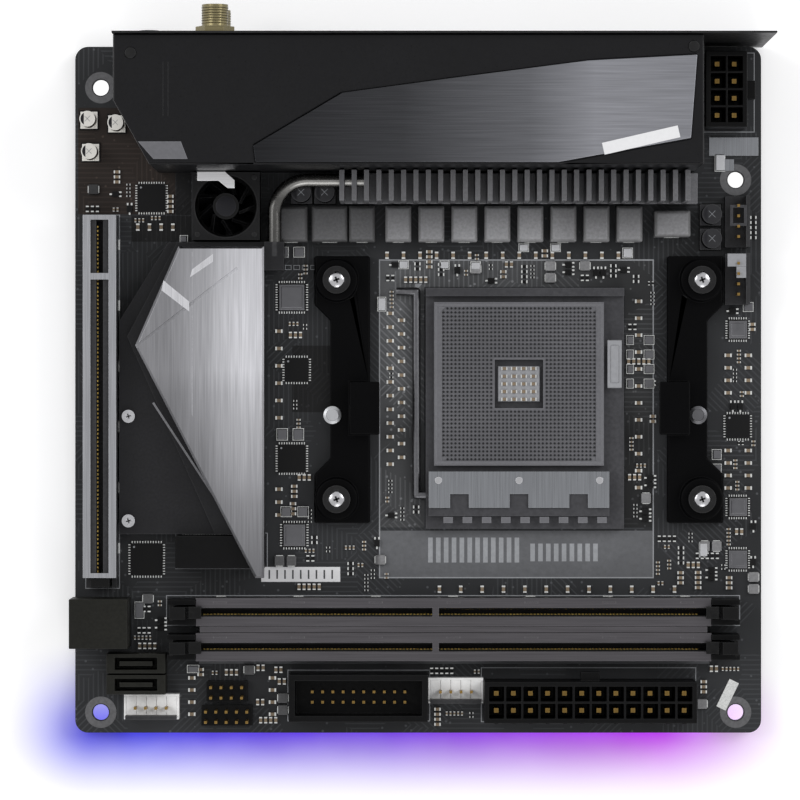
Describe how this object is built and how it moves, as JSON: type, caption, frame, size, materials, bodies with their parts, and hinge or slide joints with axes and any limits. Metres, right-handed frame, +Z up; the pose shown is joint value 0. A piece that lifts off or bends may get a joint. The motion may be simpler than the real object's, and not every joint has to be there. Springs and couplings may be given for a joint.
{
  "type": "motherboard",
  "caption": "Compact desktop motherboard with a lever-operated processor socket, armoured slots, heatsinks, a rear port shroud and a light strip.",
  "frame": {"origin": "centre of the rear left standoff hole on the underside of the board", "axes": "+X along the rear edge towards the processor power connector, +Y towards the rear ports, +Z up from the side that carries the parts"},
  "size_m": [0.1713, 0.1781, 0.0452],
  "materials": {
    "board_lacquer": "satin black solder mask over glass fibre",
    "black_plastic": "matt black moulding",
    "grey_plastic": "matt grey moulding",
    "white_plastic": "matt white moulding",
    "shroud_plastic": "satin charcoal moulding",
    "black_anodised": "black anodised, satin",
    "brushed_silver": "brushed, clear anodised",
    "silver_metal": "bright, lightly brushed",
    "dark_metal": "dark plated",
    "steel": "zinc plated",
    "black_steel": "black paint, satin",
    "gold_plate": "gold plated",
    "nickel_pipe": "nickel plated",
    "pad_grey": "soft, matt",
    "ferrite": "pressed ferrite, matt grey",
    "chip_epoxy": "moulded epoxy",
    "capacitor_can": "bright can",
    "strip_light": "emissive, colour runs from blue to magenta"
  },
  "bodies": {
    "board": {"antenna_jacks": "gold_plate", "audio_capacitors": "capacitor_can", "audio_jacks": "black_plastic", "backplate_film": "black_plastic", "bracket_screws": "steel", "cam_plate": "silver_metal", "chipset_fan_frame": "black_plastic", "chipset_heatsink": "black_anodised", "chokes": "ferrite", "circuit_board": "board_lacquer", "clock_battery": "steel", "controller_chips": "chip_epoxy", "cooler_backplate": "black_steel", "cooler_bracket_left": "black_plastic", "cooler_bracket_right": "black_plastic", "display_port_left": "silver_metal", "display_port_right": "silver_metal", "drive_connector": "black_plastic", "expansion_armor": "silver_metal", "expansion_slot": "black_plastic", "fan_headers": "white_plastic", "front_usb_header": "black_plastic", "header_pins": "gold_plate", "heat_pipe": "nickel_pipe", "heatsink_screws": "steel", "light_strip": "strip_light", "main_power_connector": "black_plastic", "memory_front_armor": "dark_metal", "memory_front_slot": "black_plastic", "memory_rear_armor": "dark_metal", "memory_rear_slot": "black_plastic", "network_stack": "silver_metal", "pin_header_bases": "black_plastic", "power_capacitors": "capacitor_can", "power_pins": "gold_plate", "power_transistors": "chip_epoxy", "processor_power_connector": "black_plastic", "rear_shield": "black_steel", "rear_shroud": "shroud_plastic", "regulator_heatsink": "black_anodised", "shroud_insert": "brushed_silver", "small_parts": "ferrite", "socket_base": "grey_plastic", "standoff_pads": "silver_metal", "storage_plate": "brushed_silver", "storage_ports_side": "black_plastic", "storage_ports_upright": "black_plastic", "thermal_pads": "pad_grey", "usb_c_stack": "silver_metal", "usb_stacks": "silver_metal", "wireless_module": "silver_metal"},
    "lever": {"socket_lever": "steel"},
    "cover": {"socket_cover": "grey_plastic"},
    "rear_latch_left": {"memory_rear_latch_left": "black_plastic"},
    "rear_latch_right": {"memory_rear_latch_right": "black_plastic"},
    "front_latch_left": {"memory_front_latch_left": "black_plastic"},
    "front_latch_right": {"memory_front_latch_right": "black_plastic"},
    "card_latch": {"expansion_latch": "black_plastic"},
    "fan_rotor": {"chipset_fan_rotor": "black_plastic"}
  },
  "joints": [
    {"name": "lever_hinge", "type": "hinge", "parent": "board", "child": "lever", "pos_m": [0.0783, -0.1011, 0.0036], "axis": [1, 0, 0], "range_deg": [0, 95]},
    {"name": "cover_slide", "type": "slide", "parent": "board", "child": "cover", "axis": [0, 1, 0], "range_m": [0, 0.0012]},
    {"name": "rear_latch_left_hinge", "type": "hinge", "parent": "board", "child": "rear_latch_left", "pos_m": [0.022, -0.1297, 0.0048], "axis": [0, -1, 0], "range_deg": [0, 30]},
    {"name": "rear_latch_right_hinge", "type": "hinge", "parent": "board", "child": "rear_latch_right", "pos_m": [0.1528, -0.1297, 0.0048], "axis": [0, 1, 0], "range_deg": [0, 30]},
    {"name": "front_latch_left_hinge", "type": "hinge", "parent": "board", "child": "front_latch_left", "pos_m": [0.022, -0.1383, 0.0048], "axis": [0, -1, 0], "range_deg": [0, 30]},
    {"name": "front_latch_right_hinge", "type": "hinge", "parent": "board", "child": "front_latch_right", "pos_m": [0.1528, -0.1383, 0.0048], "axis": [0, 1, 0], "range_deg": [0, 30]},
    {"name": "card_latch_hinge", "type": "hinge", "parent": "board", "child": "card_latch", "pos_m": [0.00045, -0.1225, 0.0038], "axis": [1, 0, 0], "range_deg": [0, 20]},
    {"name": "fan_spin", "type": "hinge", "parent": "board", "child": "fan_rotor", "pos_m": [0.0314, -0.0298, 0.0073], "axis": [0, 0, 1], "continuous": true}
  ],
  "couplings": [
    {"joint": "cover_slide", "follows": "lever_hinge", "m_per_rad": 0.00072373}
  ]
}
